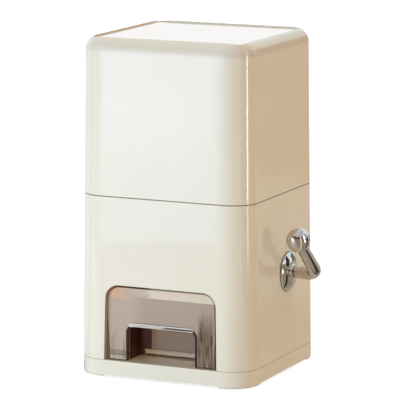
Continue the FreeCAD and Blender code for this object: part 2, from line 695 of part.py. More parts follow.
def drum_housing():
    """Barrel round the drum, closed at the crank end, with inlet neck, outlet spout and screw posts."""
    length = 2 * CHAMBER_HALF
    outer = housing_section(-CHAMBER_HALF, length + HOUSING_WALL, HOUSING_WALL)
    flange = throat_flange(HOUSING_TOP - FLANGE_THICK, HOUSING_TOP)
    bore_end = -CHAMBER_HALF + SMALL_BITE + BORE_SPARE
    post_end = bore_end + SMALL_POST_SPARE
    posts = [rod(-CHAMBER_HALF, post_end, SMALL_POST, y, z) for y, z in cover_screw_places()]
    housing = joined([outer, flange] + posts)
    room = rod(-CHAMBER_HALF, CHAMBER_HALF, BORE_RADIUS)
    low, high = AXIS_Y - NECK_HALF, AXIS_Y + NECK_HALF
    neck = box(-CHAMBER_HALF, CHAMBER_HALF, low, high, AXIS_Z, HOUSING_TOP + OVERRUN)
    low, high = AXIS_Y - SPOUT_HALF, AXIS_Y + SPOUT_HALF
    spout = box(-CHAMBER_HALF, CHAMBER_HALF, low, high, SPOUT_BOTTOM - OVERRUN, AXIS_Z)
    housing = housing.cut(joined([room, neck, spout]))
    low, high = CHAMBER_HALF - OVERRUN, CHAMBER_HALF + HOUSING_WALL + OVERRUN
    housing = housing.cut(rod(low, high, BUSH_RADIUS))
    for y, z in cover_screw_places():
        housing = housing.cut(rod(-CHAMBER_HALF - OVERRUN, bore_end, SMALL_SCREW, y, z))
    for x, y in flange_screw_places():
        low, high = HOUSING_TOP - FLANGE_THICK - OVERRUN, HOUSING_TOP + OVERRUN
        housing = housing.cut(post(x, y, low, high, SMALL_SCREW + SCREW_CLEAR))
    return housing


def housing_cover():
    """End plate that closes the barrel after the drum has gone in."""
    outer = -CHAMBER_HALF - HOUSING_WALL
    plate = housing_section(outer, HOUSING_WALL, HOUSING_WALL)
    limit = HOUSING_TOP - FLANGE_THICK
    plate = plate.cut(box(-BODY_WIDTH, BODY_WIDTH, -BODY_DEPTH, BODY_DEPTH, limit, MID_SEAM))
    ears = [rod(outer, -CHAMBER_HALF, SMALL_POST, y, z) for y, z in cover_screw_places()]
    plate = joined([plate] + ears)
    low, high = outer - OVERRUN, -CHAMBER_HALF + OVERRUN
    plate = plate.cut(rod(low, high, BUSH_RADIUS))
    for y, z in cover_screw_places():
        plate = plate.cut(rod(low, high, SMALL_SCREW + SCREW_CLEAR, y, z))
    return plate


def cover_screws():
    face = -CHAMBER_HALF - HOUSING_WALL
    screws = []
    for y, z in cover_screw_places():
        shank = rod(face, face + HOUSING_WALL + SMALL_BITE, SMALL_SCREW, y, z)
        head = rod(face - SMALL_HEAD, face, SMALL_HEAD_RADIUS, y, z)
        screws.append(joined([shank, head]))
    return Part.makeCompound(screws)


def wiper_strip():
    """Flexible strip in the neck that brushes grain back before a pocket closes."""
    low = AXIS_Z + math.sqrt((DRUM_RADIUS + WIPER_GAP) ** 2 - (NECK_HALF - WIPER_THICK) ** 2)
    front = AXIS_Y - NECK_HALF
    length = CHAMBER_HALF - END_GAP
    strip = box(-length, length, front, front + WIPER_THICK, low, low + WIPER_HEIGHT)
    edge = [e for e in strip.Edges if e.BoundBox.ZMax < low + 0.01 and e.BoundBox.YMin > front + 0.1]
    return strip.makeChamfer(WIPER_THICK * 0.6, edge)


# ---- rotor ----
def pocket_cutter(half_angle):
    """One scoop: a sector between two vanes with round inner corners, between the end discs."""
    floor = DRUM_HUB + DRUM_VANE
    reach = DRUM_RADIUS + POCKET_ROUND
    spread = math.radians(half_angle)
    offset = DRUM_VANE / 2
    # The scoop's two walls run parallel to the vanes' middle planes, half a vane away from them.
    apex = Vector(0, 0, offset / math.sin(spread))
    left = apex + Vector(0, -reach * math.sin(spread), reach * math.cos(spread))
    right = apex + Vector(0, reach * math.sin(spread), reach * math.cos(spread))
    wedge = Part.Face(Part.makePolygon([apex, left, right, apex]))
    inner_length = DRUM_LENGTH - 2 * DRUM_DISC
    solid = wedge.extrude(Vector(inner_length, 0, 0))
    solid = solid.cut(Part.makeCylinder(floor, inner_length, Vector(0, 0, 0), ALONG_X))
    inner_edges = []
    for edge in solid.Edges:
        middle = edge.valueAt((edge.FirstParameter + edge.LastParameter) / 2)
        along = edge.BoundBox.XLength > inner_length / 2
        inner_edges += [edge] if along and middle.z < floor + 1 else []
    solid = solid.makeFillet(min(POCKET_ROUND, floor * spread * 0.45), inner_edges)
    solid.translate(Vector(-inner_length / 2, 0, 0))
    return solid


def metering_drum():
    """Drum with scoops round a hub; the ends are discs, so a scoop carries a measured load of grain."""
    half = DRUM_LENGTH / 2
    drum = Part.makeCylinder(DRUM_RADIUS, DRUM_LENGTH, Vector(-half, 0, 0), ALONG_X)
    step = 360 / DRUM_POCKETS
    for index in range(DRUM_POCKETS):
        scoop = pocket_cutter(step / 2)
        scoop.rotate(Vector(0, 0, 0), ALONG_X, index * step)
        drum = drum.cut(scoop)
    start = Vector(-half - OVERRUN, 0, 0)
    drum = drum.cut(Part.makeCylinder(SHAFT_RADIUS, DRUM_LENGTH + 2 * OVERRUN, start, ALONG_X))
    drum.translate(AXIS_POINT)
    return drum


def left_bush_end():
    return -CHAMBER_HALF - HOUSING_WALL - BUSH_FLANGE_THICK


def hub_start():
    """Inner end of the crank's hub, just clear of the rose's neck."""
    return seat_x() + ROSE_NECK + CRANK_GAP


def hub_end():
    """Outer end of the hub's straight run, where its bend into the arm starts."""
    return CRANK_OFFSET - CRANK_BEND


def shaft_low():
    return left_bush_end() - FIT_GAP - CLIP_THICK - SHAFT_END


def drum_shaft():
    """Plain steel bar from the far bush to the crank, with a groove for the retaining clip."""
    low = shaft_low()
    high = hub_end()
    bar = rod(low, high, SHAFT_RADIUS)
    ends = [e for e in bar.Edges if e.BoundBox.XLength < 0.01]
    bar = bar.makeChamfer(CLIP_GROOVE / 2, ends)
    groove_high = left_bush_end() - FIT_GAP
    groove = rod(groove_high - CLIP_THICK, groove_high, SHAFT_RADIUS + OVERRUN)
    groove = groove.cut(rod(groove_high - CLIP_THICK, groove_high, SHAFT_RADIUS - CLIP_GROOVE))
    return bar.cut(groove)


def shaft_clip():
    """Open spring ring in the shaft's groove."""
    high = left_bush_end() - FIT_GAP
    clip = rod(high - CLIP_THICK, high, CLIP_RADIUS)
    clip = clip.cut(rod(high - CLIP_THICK, high, SHAFT_RADIUS - CLIP_GROOVE))
    mouth = (SHAFT_RADIUS - CLIP_GROOVE) * 0.8
    low = high - 2 * CLIP_THICK
    below = AXIS_Z - CLIP_RADIUS - OVERRUN
    return clip.cut(box(low, high + OVERRUN, AXIS_Y - mouth, AXIS_Y + mouth, below, AXIS_Z))


def bush(face, way):
    """Flanged plain bearing: the sleeve fills the end wall, the flange lies outside it."""
    inner = face - way * HOUSING_WALL
    outer = face + way * BUSH_FLANGE_THICK
    sleeve = rod(min(face, inner), max(face, inner), BUSH_RADIUS)
    flange = rod(min(face, outer), max(face, outer), BUSH_FLANGE_RADIUS)
    reach = HOUSING_WALL + BUSH_FLANGE_THICK
    return joined([sleeve, flange]).cut(rod(face - reach, face + reach, SHAFT_RADIUS + SHAFT_RUNNING))


def wall_bush():
    """Long sleeve in the rose's stem that carries the crank end of the shaft."""
    low = boss_x() - NUT_THICK
    high = seat_x() + ROSE_NECK - BUSH_SHY
    bore = rod(low - OVERRUN, high + OVERRUN, SHAFT_RADIUS + SHAFT_RUNNING)
    return rod(low, high, BUSH_RADIUS).cut(bore)


def crank_rose():
    """Chrome rose: a domed disc with a rounded rim, a neck and a threaded stem through the wall."""
    seat = seat_x()
    stem = boss_x() - NUT_THICK - STEM_END
    turn = ROSE_RIM * 0.5
    rim_low = Vector(seat, ROSE_RADIUS - turn, 0)
    rim_side = Vector(seat + turn, ROSE_RADIUS, 0)
    rim_high = Vector(seat + ROSE_RIM, ROSE_RADIUS - turn, 0)
    bend = turn * math.sqrt(0.5)
    low_bend = Vector(seat + turn - bend, ROSE_RADIUS - turn + bend, 0)
    high_bend = Vector(seat + turn + bend, ROSE_RADIUS - turn + bend, 0)
    middle = (ROSE_RADIUS + ROSE_NECK_RADIUS) / 2
    dome_mid = Vector(seat + ROSE_DOME * 0.8, middle, 0)
    dome_end = Vector(seat + ROSE_DOME, ROSE_NECK_RADIUS, 0)
    neck_end = Vector(seat + ROSE_NECK, ROSE_NECK_RADIUS - ROSE_NECK_EASE, 0)
    bore_high = Vector(seat + ROSE_NECK, BUSH_RADIUS, 0)
    bore_low = Vector(stem, BUSH_RADIUS, 0)
    stem_low = Vector(stem, ROSE_STEM_RADIUS, 0)
    stem_high = Vector(seat, ROSE_STEM_RADIUS, 0)
    profile = Part.Wire([
        Part.makeLine(stem_high, rim_low),
        Part.Arc(rim_low, low_bend, rim_side).toShape(),
        Part.Arc(rim_side, high_bend, rim_high).toShape(),
        Part.Arc(rim_high, dome_mid, dome_end).toShape(),
        Part.makeLine(dome_end, neck_end),
        Part.makeLine(neck_end, bore_high),
        Part.makeLine(bore_high, bore_low),
        Part.makeLine(bore_low, stem_low),
        Part.makeLine(stem_low, stem_high),
    ])
    rose = Part.Face(profile).revolve(Vector(0, 0, 0), ALONG_X, 360)
    rose.translate(AXIS_POINT)
    return rose


def rose_nut():
    """Hexagon nut that clamps the rose against the wall boss."""
    low = boss_x() - NUT_THICK
    radius = NUT_ACROSS / math.sqrt(3)
    corners = []
    for index in range(7):
        angle = math.radians(60 * index)
        corners.append(Vector(low, AXIS_Y + radius * math.sin(angle), AXIS_Z + radius * math.cos(angle)))
    nut = Part.Face(Part.makePolygon(corners)).extrude(Vector(NUT_THICK, 0, 0))
    return nut.cut(rod(low - OVERRUN, low + NUT_THICK + OVERRUN, ROSE_STEM_RADIUS))


# The crank is drawn with its arm upright over the shaft axis and then tilted about that axis.
def tilted(shape):
    shape.rotate(AXIS_POINT, ALONG_X, CRANK_TILT_DEG)
    return shape


def arm_end():
    """Where the arm meets the bottom of the ball's socket, over the shaft axis."""
    return ARM_LENGTH - math.sqrt(BALL_RADIUS ** 2 - ARM_TIP_RADIUS ** 2) + BALL_SOCKET


def crank_handle():
    """Hub, bend and tapered arm in one casting, bored for the shaft, grub screw and stud."""
    start = hub_start()
    end = hub_end()
    hub = Part.makeCone(HUB_RADIUS, ARM_ROOT_RADIUS, end - start, Vector(start, AXIS_Y, AXIS_Z), ALONG_X)
    section = Part.Face(Part.Wire(Part.makeCircle(ARM_ROOT_RADIUS, Vector(end, AXIS_Y, AXIS_Z), ALONG_X)))
    bend = section.revolve(Vector(end, AXIS_Y, AXIS_Z + CRANK_BEND), Vector(0, -1, 0), 90)
    root = Vector(CRANK_OFFSET, AXIS_Y, AXIS_Z + CRANK_BEND)
    arm = Part.makeCone(ARM_ROOT_RADIUS, ARM_TIP_RADIUS, arm_end() - CRANK_BEND, root, UP)
    crank = joined([hub, bend, arm])
    crank = crank.cut(rod(start - OVERRUN, end, SHAFT_RADIUS))
    grub_point = Vector(start + GRUB_PLACE, AXIS_Y, AXIS_Z)
    crank = crank.cut(Part.makeCylinder(GRUB_RADIUS, 2 * HUB_RADIUS, grub_point, Vector(0, 0, -1)))
    tip = AXIS_Z + arm_end()
    crank = crank.cut(post(CRANK_OFFSET, AXIS_Y, tip - STUD_LENGTH / 2, tip + OVERRUN, STUD_RADIUS))
    return tilted(crank)


def crank_knob():
    """Chrome ball, socketed over the end of the arm."""
    centre = Vector(CRANK_OFFSET, AXIS_Y, AXIS_Z + ARM_LENGTH)
    ball = Part.makeSphere(BALL_RADIUS, centre)
    tip = AXIS_Z + arm_end()
    slope = (ARM_ROOT_RADIUS - ARM_TIP_RADIUS) / (arm_end() - CRANK_BEND)
    wide = ARM_TIP_RADIUS + SOCKET_REACH * slope
    start = Vector(CRANK_OFFSET, AXIS_Y, tip - SOCKET_REACH)
    seat = Part.makeCone(wide, ARM_TIP_RADIUS, SOCKET_REACH, start, UP)
    bore = post(CRANK_OFFSET, AXIS_Y, tip - OVERRUN, tip + STUD_LENGTH / 2, STUD_RADIUS)
    return tilted(ball.cut(seat).cut(bore))


def knob_stud():
    tip = AXIS_Z + arm_end()
    return tilted(post(CRANK_OFFSET, AXIS_Y, tip - STUD_LENGTH / 2, tip + STUD_LENGTH / 2, STUD_RADIUS))


def grub_screw():
    """Set screw that grips the shaft, flush with the underside of the hub."""
    x = hub_start() + GRUB_PLACE
    low = AXIS_Z - HUB_RADIUS + GRUB_SHY
    body = post(x, AXIS_Y, low, AXIS_Z - SHAFT_RADIUS, GRUB_RADIUS)
    return tilted(body.cut(rod(x - 2 * GRUB_RADIUS, x + 2 * GRUB_RADIUS, SHAFT_RADIUS)))


# ---- bin ----
def lid_wall(low, high, inset, width):
    """Straight-sided ring that follows the lid opening at the top of the bin."""
    half_x = BODY_WIDTH / 2 - lean_at(BODY_HEIGHT) - inset
    half_y = BODY_DEPTH / 2 - lean_at(BODY_HEIGHT) - inset
    corner = LID_CORNER + LID_INSET - inset
    outer = Part.Face(rounded_wire(half_x, half_y, corner, low))
    if width is not None:
        outer = outer.cut(Part.Face(rounded_wire(half_x - width, half_y - width, corner - width, low)))
    return outer.extrude(Vector(0, 0, high - low))


def upper_bin():
    """Deep tapered bin, open at the bottom, with a rolled rim, a ledge for the lid and a plug collar."""
    skin = block(MID_SEAM, BODY_HEIGHT)
    skin = rounded_level(skin, BODY_HEIGHT, TOP_ROUND)
    skin = rounded_level(skin, MID_SEAM, SEAM_ROUND)
    roof = BODY_HEIGHT - WALL
    hollow = block(MID_SEAM - OVERRUN, roof, WALL)
    hollow = rounded_level(hollow, roof, TOP_ROUND - WALL)
    shell = skin.cut(hollow)
    ledge_low = LID_SEAT - LID_LEDGE_THICK
    rim = lid_wall(ledge_low, roof + WALL / 4, LID_INSET - RIM_WALL, RIM_WALL)
    ledge = lid_wall(ledge_low, LID_SEAT, LID_INSET - RIM_WALL, RIM_WALL + LID_LEDGE)
    collar = lid_wall(ledge_low - COLLAR_DEPTH, LID_SEAT, LID_INSET + LID_LEDGE - RIM_WALL, RIM_WALL)
    plug = ring(PLUG_BOTTOM, MID_SEAM + PLUG_RISE, WALL + FIT_GAP, PLUG_WALL)
    tie = ring(MID_SEAM, MID_SEAM + PLUG_RISE, WALL / 2, WALL / 2 + FIT_GAP + PLUG_WALL)
    inside = block(PLUG_BOTTOM, BODY_HEIGHT, WALL + FIT_GAP)
    posts = []
    for x, y in corner_posts(MID_SEAM, post_inset()):
        high = MID_SEAM + SCREW_BITE + POST_SPARE
        posts.append(post(x, y, PLUG_BOTTOM, high, BOSS_POST).common(inside))
    body = joined([shell, rim, ledge, collar, plug, tie] + posts)
    body = body.cut(lid_wall(LID_SEAT, BODY_HEIGHT + OVERRUN, LID_INSET, None))
    for x, y in corner_posts(MID_SEAM, post_inset()):
        body = body.cut(post(x, y, PLUG_BOTTOM - OVERRUN, MID_SEAM + SCREW_BITE, SCREW_RADIUS))
    return body


# ---- lid ----
def lid_panel():
    """Flush lid: a plate on the bin's ledge, with a skirt for the gasket and a ring for the cup."""
    plate = lid_wall(LID_SEAT, LID_TOP, LID_INSET + LID_GAP, None)
    top_edges = edges_where(plate, lambda bounds, edge: bounds.ZMin > LID_TOP - 0.01)
    plate = plate.makeFillet(SEAM_ROUND, top_edges)
    skirt_inset = LID_INSET + LID_LEDGE + GASKET_GAP + GASKET_WIDTH
    skirt = lid_wall(LID_SEAT - LID_SKIRT_DEPTH, LID_SEAT + LID_THICK / 2, skirt_inset, LID_SKIRT)
    stop_inset = LID_INSET + LID_LEDGE + GASKET_GAP
    low = LID_SEAT - LID_SKIRT_DEPTH
    stop = lid_wall(low, low + LID_SKIRT, stop_inset, GASKET_WIDTH + LID_SKIRT / 2)
    rib_low = LID_SEAT - CUP_RING
    rib = post(0, 0, rib_low, LID_SEAT + LID_THICK / 2, CUP_RADIUS - CUP_WALL)
    rib = rib.cut(post(0, 0, rib_low, LID_SEAT + LID_THICK / 2, CUP_RADIUS - 2 * CUP_WALL))
    return joined([plate, skirt, stop, rib])


def lid_gasket():
    """Silicone ring on the skirt, resting on its lower bead."""
    low = LID_SEAT - LID_SKIRT_DEPTH + LID_SKIRT
    return lid_wall(low, low + GASKET_HEIGHT, LID_INSET + LID_LEDGE + GASKET_GAP, GASKET_WIDTH)


def cup_bottom():
    return LID_SEAT - CUP_DEPTH


def lug_ring(low, inner, outer):
    """Three short lugs on a circle."""
    lugs = []
    for index in range(3):
        lug = Part.makeCylinder(outer, LUG_HEIGHT, Vector(0, 0, low), UP, LUG_DEG)
        lug = lug.cut(Part.makeCylinder(inner, LUG_HEIGHT, Vector(0, 0, low), UP))
        lug.rotate(Vector(0, 0, 0), UP, 120 * index)
        lugs.append(lug)
    return lugs


def desiccant_cup():
    """Round cup pushed over the lid's ring, open downwards, with three lugs for its cap."""
    low = cup_bottom()
    wall = post(0, 0, low, LID_SEAT, CUP_RADIUS).cut(post(0, 0, low, LID_SEAT, CUP_RADIUS - CUP_WALL))
    return joined([wall] + lug_ring(low + LUG_RISE, CUP_RADIUS - CUP_WALL / 2, CUP_RADIUS + LUG_REACH))


def desiccant_cap():
    """Vented bayonet cap: its lugs hang on those of the cup."""
    inner = CUP_RADIUS + LUG_REACH + CAP_GAP
    outer = inner + CAP_WALL
    high = cup_bottom() - CAP_GAP
    low = high - CAP_WALL
    top = high + CAP_SKIRT
    dish = post(0, 0, low, top, outer).cut(post(0, 0, high, top, inner))
    bottom_edges = edges_where(dish, lambda bounds, edge: bounds.ZMax < low + 0.01)
    dish = dish.makeFillet(CAP_WALL * 0.6, bottom_edges)
    lug_low = cup_bottom() + LUG_RISE + LUG_HEIGHT + CAP_GAP
    lugs = lug_ring(lug_low, CUP_RADIUS + CAP_GAP, inner + CAP_WALL / 2)
    grip_half = CUP_RADIUS * 0.6
    grip_top = low + CAP_WALL / 2
    grip = box(-grip_half, grip_half, -CAP_WALL / 2, CAP_WALL / 2, low - GRIP_DEPTH, grip_top)
    cap = joined([dish, grip] + lugs)
    for index in range(VENT_COUNT):
        near, far = CUP_RADIUS * 0.45, CUP_RADIUS * 0.85
        slot = box(near, far, -VENT_HALF, VENT_HALF, low - OVERRUN, high + OVERRUN)
        slot.rotate(Vector(0, 0, 0), UP, (index + 0.5) * 360 / VENT_COUNT)
        cap = cap.cut(slot)
    return cap


NODES = {
    "base_plate": base_plate,
    "foot_pads": foot_pads,
    "base_screws": base_screws,
    "lower_body": lower_body,
    "drawer_bay": drawer_bay,
    "bay_screws": bay_screws,
    "hopper_funnel": hopper_funnel,
    "funnel_seal": funnel_seal,
    "bin_screws": bin_screws,
    "drum_housing": drum_housing,
    "housing_cover": housing_cover,
    "cover_screws": cover_screws,
    "housing_screws": housing_screws,
    "wiper_strip": wiper_strip,
    "bush_far": lambda: bush(-CHAMBER_HALF - HOUSING_WALL, -1),
    "bush_near": lambda: bush(CHAMBER_HALF + HOUSING_WALL, 1),
    "wall_bush": wall_bush,
    "crank_rose": crank_rose,
    "rose_nut": rose_nut,
    "upper_bin": upper_bin,
    "drawer_tray": drawer_tray,
    "metering_drum": metering_drum,
    "drum_shaft": drum_shaft,
    "shaft_clip": shaft_clip,
    "crank_handle": crank_handle,
    "grub_screw": grub_screw,
    "crank_knob": crank_knob,
    "knob_stud": knob_stud,
    "lid_panel": lid_panel,
    "lid_gasket": lid_gasket,
    "desiccant_cup": desiccant_cup,
    "desiccant_cap": desiccant_cap,
}

os.makedirs("parts", exist_ok=True)
for name, make in NODES.items():
    make().exportStep("parts/" + name + ".step")
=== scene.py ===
import bmesh
import bpy
import math
import numpy as np
from mathutils import Matrix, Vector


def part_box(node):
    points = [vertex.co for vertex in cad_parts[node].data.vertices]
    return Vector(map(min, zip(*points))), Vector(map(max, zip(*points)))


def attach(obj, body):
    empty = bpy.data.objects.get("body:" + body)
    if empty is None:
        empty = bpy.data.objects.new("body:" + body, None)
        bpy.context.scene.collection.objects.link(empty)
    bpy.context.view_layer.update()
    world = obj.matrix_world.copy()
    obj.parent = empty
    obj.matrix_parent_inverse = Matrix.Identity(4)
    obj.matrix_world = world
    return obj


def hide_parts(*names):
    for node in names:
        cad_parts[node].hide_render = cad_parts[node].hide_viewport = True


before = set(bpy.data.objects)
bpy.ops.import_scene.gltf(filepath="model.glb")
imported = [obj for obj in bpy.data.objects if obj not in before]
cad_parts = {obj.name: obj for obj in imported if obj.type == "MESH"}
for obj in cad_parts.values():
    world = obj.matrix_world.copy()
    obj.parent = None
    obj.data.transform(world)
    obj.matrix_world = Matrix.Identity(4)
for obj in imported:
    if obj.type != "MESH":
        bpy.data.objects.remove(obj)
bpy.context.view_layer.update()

# ---- base plate and feet ----
# The base is an injection-moulded ABS tray with a deck, a skirt and four corner feet, in the same glossy
# cream as the two shells above it. Four rubber pads are pressed into the feet from below.


class Wire:
    """An output socket; arithmetic on it adds Math nodes to its material."""

    def __init__(self, finish, socket):
        self.finish = finish
        self.socket = socket

    def maths(self, operation, first, second):
        return self.finish.node("Math", {"operation": operation}, {0: first, 1: second})

    def __add__(self, other):
        return self.maths("ADD", self, other)

    def __radd__(self, other):
        return self.maths("ADD", other, self)

    def __sub__(self, other):
        return self.maths("SUBTRACT", self, other)

    def __rsub__(self, other):
        return self.maths("SUBTRACT", other, self)

    def __mul__(self, other):
        return self.maths("MULTIPLY", self, other)

    def __rmul__(self, other):
        return self.maths("MULTIPLY", other, self)


class Finish:
    """One procedural material, put together node by node."""

    def __init__(self, name, tree=None):
        if tree is None:
            self.material = bpy.data.materials.new(name)
            self.material.use_nodes = True
            tree = self.material.node_tree
        self.tree = tree
        self.tree.nodes.clear()

    def node(self, kind, settings, sockets, output=0):
        """Adds a node of a type, sets its settings, then the values or links of its sockets."""
        made = self.tree.nodes.new("ShaderNode" + kind)
        for name, value in settings.items():
            setattr(made, name, value)
        for name, value in sockets.items():
            if isinstance(value, Wire):
                self.tree.links.new(value.socket, made.inputs[name])
            else:
                made.inputs[name].default_value = value
        return Wire(self, made.outputs[output])

    def place(self):
        """The point on the piece, in the object's own frame."""
        return self.node("TexCoord", {}, {}, "Object")

    def along(self, vector, axis):
        """One of a vector's three numbers."""
        return self.node("SeparateXYZ", {}, {"Vector": vector}, axis)

    def noise(self, vector, scale, detail, **sockets):
        """Soft noise between 0 and 1."""
        return self.node("TexNoise", {}, {"Vector": vector, "Scale": scale, "Detail": detail, **sockets})

    def relief(self, height, strength, depth, **sockets):
        """A normal tilted by a height."""
        return self.node("Bump", {}, {"Strength": strength, "Distance": depth, "Height": height, **sockets})

    def blend(self, factor, first, second):
        """Mixes two colours."""
        return self.node("Mix", {"data_type": "RGBA"}, {0: factor, 6: first, 7: second}, 2)

    def ray(self, kind):
        """1 for one kind of ray, such as those that the camera sees, and 0 for the others."""
        return self.node("LightPath", {}, {}, "Is " + kind + " Ray")

    def close(self, shader, kind="Material"):
        """Joins the shader to the output."""
        out = self.tree.nodes.new("ShaderNodeOutput" + kind)
        self.tree.links.new(shader.socket, out.inputs["Surface"])
        return getattr(self, "material", None)


def tone(code):
    """Linear colour of a six-figure display code."""
    parts = [int(code[i:i + 2], 16) / 255 for i in (0, 2, 4)]
    return tuple(c / 12.92 if c <= 0.04045 else ((c + 0.055) / 1.055) ** 2.4 for c in parts) + (1.0,)


def scaled(colour, share, extra=0.0):
    """The colour made paler or deeper by a share."""
    return tuple(min(1.0, c * share + extra) for c in colour[:3]) + (1.0,)


def wear(material, *nodes):
    """Gives one finish to pieces of the frame."""
    for name in nodes:
        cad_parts[name].data.materials[0] = material


def rise(value, low, high):
    """0 below low, 1 above high, smooth between."""
    return value.finish.node("MapRange", {"interpolation_type": "SMOOTHSTEP"},
                             {"Value": value, "From Min": low, "From Max": high})


def fall(value, low, high):
    """1 below low, 0 above high, smooth between."""
    return 1.0 - rise(value, low, high)


def stripe(value, low, high, soft):
    """1 between low and high, falling to 0 over a soft edge outside them."""
    return rise(value, low - soft, low) * fall(value, high, high + soft)


def glossy_shell(name, light, deep):
    """Glossy ABS: two near tones in soft clouds, a slow waviness from moulding, a fine peel and faint hand
    marks. Painted shade: the round top edge a little greyer on all four sides, and darker lines in the two
    seams."""
    edge_low, edge_high, edge_soft, edge_share = 0.3880, 0.3960, 0.0060, 0.5
    mid_low, mid_high, mid_soft = 0.2150, 0.2160, 0.0004
    base_low, base_high, base_soft, base_share = 0.0207, 0.0214, 0.0003, 0.5
    seam_shade_share = 0.85
    paint = Finish(name)
    place = paint.place()
    z = paint.along(place, "Z")
    clouds = paint.noise(place, 9.0, 3.0, Roughness=0.6)
    flow = paint.noise(place, 16.0, 1.0)
    peel = paint.noise(place, 420.0, 2.0)
    marks = rise(paint.noise(place, 34.0, 5.0, Roughness=0.7), 0.52, 0.72)
    painted_top_edge_shade = stripe(z, edge_low, edge_high, edge_soft)
    seams = stripe(z, mid_low, mid_high, mid_soft) + base_share * stripe(z, base_low, base_high, base_soft)
    colour = paint.blend(clouds, light, deep)
    # Painted shade: the round top edge is painted a little greyer, all round.
    colour = paint.blend(painted_top_edge_shade * edge_share, colour, tone("cfccc2"))
    # Painted shade: darker lines painted along the two seams.
    colour = paint.blend(seams * seam_shade_share, colour, tone("8d8163"))
    waves = paint.relief(flow, 0.12, 0.0004)
    return paint.close(paint.node("BsdfPrincipled", {}, {
        "Base Color": colour,
        "Roughness": 0.02 + 0.03 * marks + 0.01 * clouds,
        "IOR": 1.52,
        "Normal": paint.relief(peel, 0.06, 0.0001, Normal=waves),
    }))


cream = glossy_shell("cream_shell", tone("eeede1"), tone("eae8d9"))
wear(cream, "base_plate")


def rubber(name, colour):
    """Matt rubber: grey bloom in patches over a fine moulded grain."""
    paint = Finish(name)
    place = paint.place()
    bloom = paint.noise(place, 160.0, 4.0)
    grain = paint.noise(place, 2600.0, 2.0)
    return paint.close(paint.node("BsdfPrincipled", {}, {
        "Base Color": paint.blend(bloom * 0.5, colour, scaled(colour, 1.6, 0.01)),
        "Roughness": 0.62 + 0.25 * bloom,
        "Normal": paint.relief(grain, 0.4, 0.0001),
    }))


black_rubber = rubber("pad_rubber", tone("3a3836"))
wear(black_rubber, "foot_pads")


def plated(name, colour, grain):
    """Bright zinc plate on steel: a cloudy grey with fine turning lines, as close along each axis as grain
    says."""
    paint = Finish(name)
    place = paint.place()
    stretch = paint.node("Mapping", {}, {"Vector": place, "Scale": grain})
    lines = paint.noise(stretch, 1.0, 3.0)
    cloud = paint.noise(place, 420.0, 3.0)
    return paint.close(paint.node("BsdfPrincipled", {}, {
        "Base Color": paint.blend(cloud, colour, scaled(colour, 0.72)),
        "Metallic": 1.0,
        "Roughness": 0.24 + 0.16 * cloud,
        "Normal": paint.relief(lines, 0.2, 0.00005),
    }))


zinc = plated("steel", tone("c9ccd0"), (300.0, 300.0, 3000.0))
wear(zinc, "base_screws")

# ---- lower body ----
# The lower shell is moulded in one piece with the drawer opening in front and a boss for the crank. It sits
# over the base's locating rim and is held by the four screws from below.

wear(cream, "lower_body")

# ---- drawer bay, funnel and drum housing ----
# These inner mouldings are plain cream ABS with a satin, spark-eroded surface, because nobody sees them in
# use. The bay is screwed to the deck and the funnel to the shell's ledge. The housing hangs under the funnel.


def satin_moulding(name, light, deep):
    """Satin moulding: fine eroded grain, faint flow clouds and a trace of flour dust on upward faces."""
    paint = Finish(name)
    place = paint.place()
    clouds = paint.noise(place, 18.0, 4.0)
    grain = paint.noise(place, 1900.0, 3.0)
    upward = paint.along(paint.node("NewGeometry", {}, {}, "Normal"), "Z")
    dust = paint.node("MapRange", {}, {"Value": upward * clouds, "From Min": 0.25, "From Max": 0.8,
                                       "To Max": 0.35})
    return paint.close(paint.node("BsdfPrincipled", {}, {
        "Base Color": paint.blend(dust, paint.blend(clouds, light, deep), tone("f6f3ec")),
        "Roughness": 0.38 + 0.14 * grain + 0.2 * dust,
        "Normal": paint.relief(grain, 0.25, 0.0001),
    }))


satin = satin_moulding("cream_inner", tone("e9e0cc"), tone("e2d7c0"))
wear(satin, "drawer_bay", "hopper_funnel", "drum_housing", "housing_cover")
wear(zinc, "bay_screws", "housing_screws", "cover_screws", "bin_screws")


def silicone(name, colour):
    """Soft translucent silicone: milky, with a little cloud in its depth and a dry skin."""
    paint = Finish(name)
    cloud = paint.noise(paint.place(), 90.0, 3.0)
    return paint.close(paint.node("BsdfPrincipled", {}, {
        "Base Color": paint.blend(cloud, colour, scaled(colour, 0.82)),
        "Roughness": 0.42 + 0.18 * cloud,
        "Subsurface Weight": 0.25,
        "Subsurface Radius": (0.002, 0.002, 0.002),
        "Normal": paint.relief(cloud, 0.1, 0.0001),
    }))


wear(silicone("silicone", tone("dcdad4")), "funnel_seal", "wiper_strip", "lid_gasket")

# ---- metering drum, shaft and bearings ----
# A grey acetal drum with four scoops turns in the housing, pinned to a ground steel bar. The bar runs in
# white acetal bushes and is kept by a spring ring at its far end.

shaft_y, shaft_z = 0.012, 0.120


def acetal(name, light, deep):
    """Machined acetal: a waxy, even plastic with fine rings round the shaft's direction."""
    paint = Finish(name)
    place = paint.place()
    centred = paint.node("Mapping", {}, {"Vector": place, "Location": (0.0, -shaft_y, -shaft_z)})
    rings = paint.node("TexWave", {"wave_type": "RINGS", "rings_direction": "X", "wave_profile": "SAW"},
                       {"Vector": centred, "Scale": 330.0, "Distortion": 0.6, "Detail": 2.0})
    cloud = paint.noise(place, 60.0, 3.0)
    return paint.close(paint.node("BsdfPrincipled", {}, {
        "Base Color": paint.blend(cloud, light, deep),
        "Roughness": 0.33 + 0.1 * rings + 0.08 * cloud,
        "Normal": paint.relief(rings, 0.08, 0.0001),
    }))


wear(acetal("drum_grey", tone("a9a8a4"), tone("98978f")), "metering_drum")
wear(acetal("pom_white", tone("eeece6"), tone("e2dfd6")), "bush_far", "bush_near", "wall_bush")
ground_bar = plated("shaft_steel", tone("b9bbbd"), (9000.0, 300.0, 300.0))
wear(ground_bar, "drum_shaft", "shaft_clip")

# ---- bin ----
# The bin is a deep tapered moulding in the same glossy cream. Its collar plugs into the lower shell on a flat
# seal, and four screws from the ledge below hold it.

